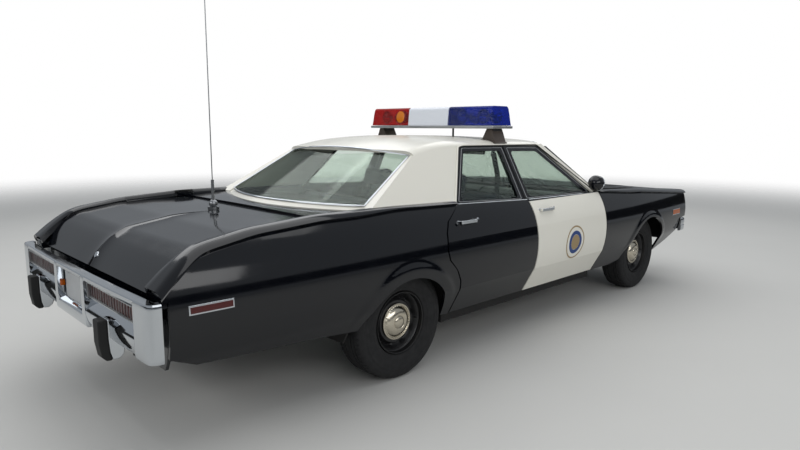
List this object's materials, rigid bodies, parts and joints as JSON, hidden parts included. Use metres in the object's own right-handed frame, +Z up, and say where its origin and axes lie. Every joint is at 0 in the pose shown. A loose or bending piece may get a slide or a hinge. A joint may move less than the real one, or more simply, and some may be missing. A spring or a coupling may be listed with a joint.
{
  "type": "police patrol car",
  "caption": "Four-door patrol saloon with opening doors, bonnet and boot lid, steered front wheels, roof light bar, spotlights and whip antenna.",
  "frame": {"origin": "on the ground, midway between the bumpers' tips and on the centre plane", "axes": "+X towards the front, +Y towards the car's left side, +Z up"},
  "size_m": [5.6, 2.021, 2.7396],
  "materials": {
    "black_paint": "gloss enamel",
    "white_paint": "gloss enamel",
    "wheel_paint": "semi-gloss",
    "underbody": "dull undercoat",
    "brown_steel": "worn paint",
    "chrome": "polished plate",
    "tinted_glass": "green tint",
    "lamp_glass": "fluted lens",
    "red_lens": "ribbed lens",
    "blue_lens": "ribbed lens",
    "silver_plastic": "silvered",
    "black_rubber": "matt",
    "black_plastic": "grained",
    "seat_vinyl": "grained vinyl",
    "trim_board": "felt faced",
    "engine_iron": "painted casting",
    "bare_steel": "dull",
    "antenna_steel": "satin",
    "tyre_rubber": "moulded"
  },
  "bodies": {
    "root": {"floor_pan": "underbody", "inner_panels": "underbody", "front_fenders": "black_paint", "quarter_panels": "black_paint", "roof_panel": "white_paint", "door_pillars": "black_paint", "fixed_glass": "tinted_glass", "nose_panel": "black_paint", "grille": "chrome", "headlamps": "lamp_glass", "front_bumper": "chrome", "tail_panel": "black_paint", "tail_lamps": "red_lens", "rear_bumper": "chrome", "bumper_rubbers": "black_rubber", "side_markers": "red_lens", "lightbar_tray": "brown_steel", "dome_red": "red_lens", "dome_blue": "blue_lens", "speaker_housing": "silver_plastic", "spotlights": "chrome", "front_seat": "seat_vinyl", "rear_seat": "seat_vinyl", "parcel_shelf": "trim_board", "dashboard": "black_plastic", "steering_wheel": "black_plastic", "engine": "engine_iron", "fuel_tank": "bare_steel", "exhaust": "bare_steel", "rear_axle": "engine_iron", "front_suspension": "engine_iron"},
    "bonnet": {"bonnet": "black_paint"},
    "boot_lid": {"boot_lid": "black_paint", "antenna": "antenna_steel"},
    "door_front_left": {"door_front_left": "white_paint", "glass_front_left": "tinted_glass"},
    "door_rear_left": {"door_rear_left": "black_paint", "glass_rear_left": "tinted_glass"},
    "knuckle_left": {"knuckle_left": "engine_iron"},
    "door_front_right": {"door_front_right": "white_paint", "glass_front_right": "tinted_glass"},
    "door_rear_right": {"door_rear_right": "black_paint", "glass_rear_right": "tinted_glass"},
    "knuckle_right": {"knuckle_right": "engine_iron"},
    "wheel_front_left": {"tyre_front_left": "tyre_rubber", "wheel_front_left": "wheel_paint"},
    "wheel_front_right": {"tyre_front_right": "tyre_rubber", "wheel_front_right": "wheel_paint"},
    "wheel_rear_left": {"tyre_rear_left": "tyre_rubber", "wheel_rear_left": "wheel_paint"},
    "wheel_rear_right": {"tyre_rear_right": "tyre_rubber", "wheel_rear_right": "wheel_paint"}
  },
  "joints": [
    {"name": "bonnet_hinge", "type": "hinge", "parent": "root", "child": "bonnet", "pos_m": [1.29, 0, 0.98], "axis": [0, -1, 0], "range_deg": [0, 50]},
    {"name": "boot_lid_hinge", "type": "hinge", "parent": "root", "child": "boot_lid", "pos_m": [-1.722, 0, 0.997], "axis": [0, 1, 0], "range_deg": [0, 65]},
    {"name": "door_front_left_hinge", "type": "hinge", "parent": "root", "child": "door_front_left", "pos_m": [1.04, 1.001, 0.6], "axis": [0, 0, -1], "range_deg": [0, 65]},
    {"name": "door_rear_left_hinge", "type": "hinge", "parent": "root", "child": "door_rear_left", "pos_m": [0.045, 1.001, 0.6], "axis": [0, 0, -1], "range_deg": [0, 65]},
    {"name": "steer_left", "type": "hinge", "parent": "root", "child": "knuckle_left", "pos_m": [1.888, 0.7, 0.342], "axis": [0, 0, 1], "range_deg": [-30, 30]},
    {"name": "spin_front_left", "type": "hinge", "parent": "knuckle_left", "child": "wheel_front_left", "pos_m": [1.888, 0.788, 0.342], "axis": [0, 1, 0], "continuous": true},
    {"name": "spin_rear_left", "type": "hinge", "parent": "root", "child": "wheel_rear_left", "pos_m": [-1.211, 0.805, 0.342], "axis": [0, 1, 0], "continuous": true},
    {"name": "door_front_right_hinge", "type": "hinge", "parent": "root", "child": "door_front_right", "pos_m": [1.04, -1.001, 0.6], "axis": [0, 0, 1], "range_deg": [0, 65]},
    {"name": "door_rear_right_hinge", "type": "hinge", "parent": "root", "child": "door_rear_right", "pos_m": [0.045, -1.001, 0.6], "axis": [0, 0, 1], "range_deg": [0, 65]},
    {"name": "steer_right", "type": "hinge", "parent": "root", "child": "knuckle_right", "pos_m": [1.888, -0.7, 0.342], "axis": [0, 0, 1], "range_deg": [-30, 30]},
    {"name": "spin_front_right", "type": "hinge", "parent": "knuckle_right", "child": "wheel_front_right", "pos_m": [1.888, -0.788, 0.342], "axis": [0, 1, 0], "continuous": true},
    {"name": "spin_rear_right", "type": "hinge", "parent": "root", "child": "wheel_rear_right", "pos_m": [-1.211, -0.805, 0.342], "axis": [0, 1, 0], "continuous": true}
  ],
  "couplings": [
    {"joint": "steer_right", "follows": "steer_left", "ratio": 1}
  ]
}
